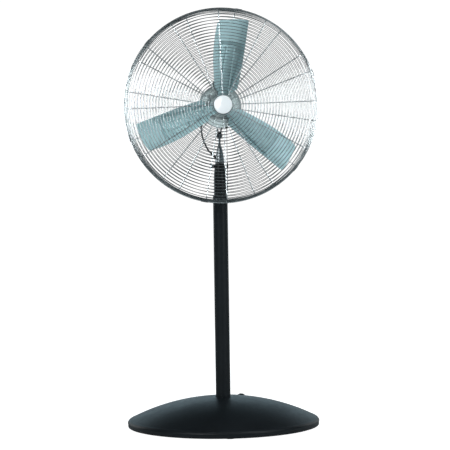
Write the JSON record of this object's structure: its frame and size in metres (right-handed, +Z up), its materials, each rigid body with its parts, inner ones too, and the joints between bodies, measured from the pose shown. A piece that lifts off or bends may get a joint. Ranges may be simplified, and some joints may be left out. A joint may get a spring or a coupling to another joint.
{
  "type": "pedestal fan",
  "caption": "Floor-standing pedestal fan: a paddle-blade propeller in a round wire guard, on a tilting and swivelling head carried by a telescopic column on a domed base.",
  "frame": {"origin": "centre of the base on the floor, on the column's axis", "axes": "+Z up along the column; the fan blows towards -Y; +X is to the right of a person facing its front"},
  "size_m": [0.8642, 0.8642, 1.865],
  "materials": {
    "black_enamel": "satin black powder coat",
    "black_mast": "satin black powder coat",
    "cast_ballast": "rough as cast",
    "black_rubber": "moulded",
    "lead_jacket": "extruded jacket",
    "nylon_black": "moulded",
    "zinc_hardware": "zinc plated",
    "neck_zinc": "bright plated casting",
    "bracket_steel": "zinc plated sheet",
    "motor_enamel": "dark grey enamel",
    "motor_casting": "painted die casting",
    "laminations": "stacked sheet",
    "copper_winding": "enamelled wire",
    "bright_steel": "ground",
    "guard_wire": "bright plated wire",
    "guard_rib": "bright plated wire",
    "blade_aluminium": "mill finish with a grey-green cast",
    "spider_steel": "plated sheet",
    "badge_white": "plain",
    "bead_chain": "nickel plated",
    "pull_cord_black": "braided"
  },
  "bodies": {
    "base": {"base_shell": "black_enamel", "base_plate": "black_enamel", "ballast_weight": "cast_ballast", "rubber_feet": "black_rubber", "column_socket": "black_enamel", "socket_bolts": "zinc_hardware", "supply_gland": "black_rubber", "column": "black_enamel", "column_bushing": "nylon_black", "lock_boss": "black_enamel"},
    "height_lock": {"height_knob": "nylon_black"},
    "mast": {"mast_tube": "black_mast", "mast_guide": "nylon_black", "mast_head": "black_mast", "thrust_washer": "nylon_black"},
    "swivel_lock": {"swivel_wing_bolt": "zinc_hardware"},
    "neck": {"neck_casting": "neck_zinc", "neck_gland": "black_rubber"},
    "head": {"tilt_bracket": "bracket_steel", "tilt_bolt": "zinc_hardware", "tilt_nut": "zinc_hardware", "motor_shell": "motor_enamel", "motor_front_bell": "motor_casting", "motor_rear_bell": "motor_casting", "stator": "laminations", "stator_windings": "copper_winding", "shaft_bearings": "bright_steel", "capacitor_case": "motor_enamel", "terminal_box": "nylon_black", "terminal_box_cover": "nylon_black", "cover_screws": "zinc_hardware", "lead_strain_relief": "black_rubber", "motor_lead": "lead_jacket", "pull_switch": "nylon_black", "front_guard_rings": "guard_wire", "front_side_rings": "guard_wire", "rear_guard_rings": "guard_wire", "rear_side_rings": "guard_wire", "front_rim": "guard_wire", "rear_rim": "guard_wire", "front_guard_ribs": "guard_rib", "rear_guard_ribs": "guard_rib", "rear_mount_ring": "bracket_steel", "guard_screws": "zinc_hardware", "rim_clips": "guard_wire", "guard_centre_plate": "bracket_steel", "badge": "badge_white"},
    "rotor": {"propeller_blades": "blade_aluminium", "propeller_spider": "spider_steel", "propeller_hub": "bright_steel", "blade_rivets": "zinc_hardware", "motor_shaft": "bright_steel", "rotor_core": "laminations"},
    "switch_stem": {"switch_stem": "zinc_hardware"},
    "pull_chain": {"pull_chain": "bead_chain", "chain_bell": "nylon_black", "pull_cord": "pull_cord_black", "cord_knot": "pull_cord_black"}
  },
  "joints": [
    {"name": "height_slide", "type": "slide", "parent": "base", "child": "mast", "axis": [0, 0, 1], "range_m": [-0.12, 0.36]},
    {"name": "height_lock_turn", "type": "hinge", "parent": "base", "child": "height_lock", "pos_m": [0, 0.06, 0.995], "axis": [0, 1, 0], "range_deg": [-180, 180]},
    {"name": "swivel_lock_turn", "type": "hinge", "parent": "mast", "child": "swivel_lock", "pos_m": [-0.04, 0, 1.171], "axis": [1, 0, 0], "range_deg": [-180, 180]},
    {"name": "head_swivel", "type": "hinge", "parent": "mast", "child": "neck", "pos_m": [0, 0, 1.1838], "axis": [0, 0, 1], "range_deg": [-90, 90]},
    {"name": "head_tilt", "type": "hinge", "parent": "neck", "child": "head", "pos_m": [0, 0, 1.308], "axis": [1, 0, 0], "range_deg": [-30, 10], "deforming": ["motor_lead"]},
    {"name": "fan_spin", "type": "hinge", "parent": "head", "child": "rotor", "pos_m": [0, -0.172, 1.435], "axis": [0, 1, 0], "continuous": true},
    {"name": "switch_pull", "type": "slide", "parent": "head", "child": "switch_stem", "axis": [0, 0, -1], "range_m": [0, 0.008], "stiffness_N_per_m": 400, "springref_m": -0.004},
    {"name": "chain_swing", "type": "hinge", "parent": "switch_stem", "child": "pull_chain", "pos_m": [0.036, 0.028, 1.3273], "axis": [1, 0, 0], "range_deg": [-20, 20]}
  ]
}
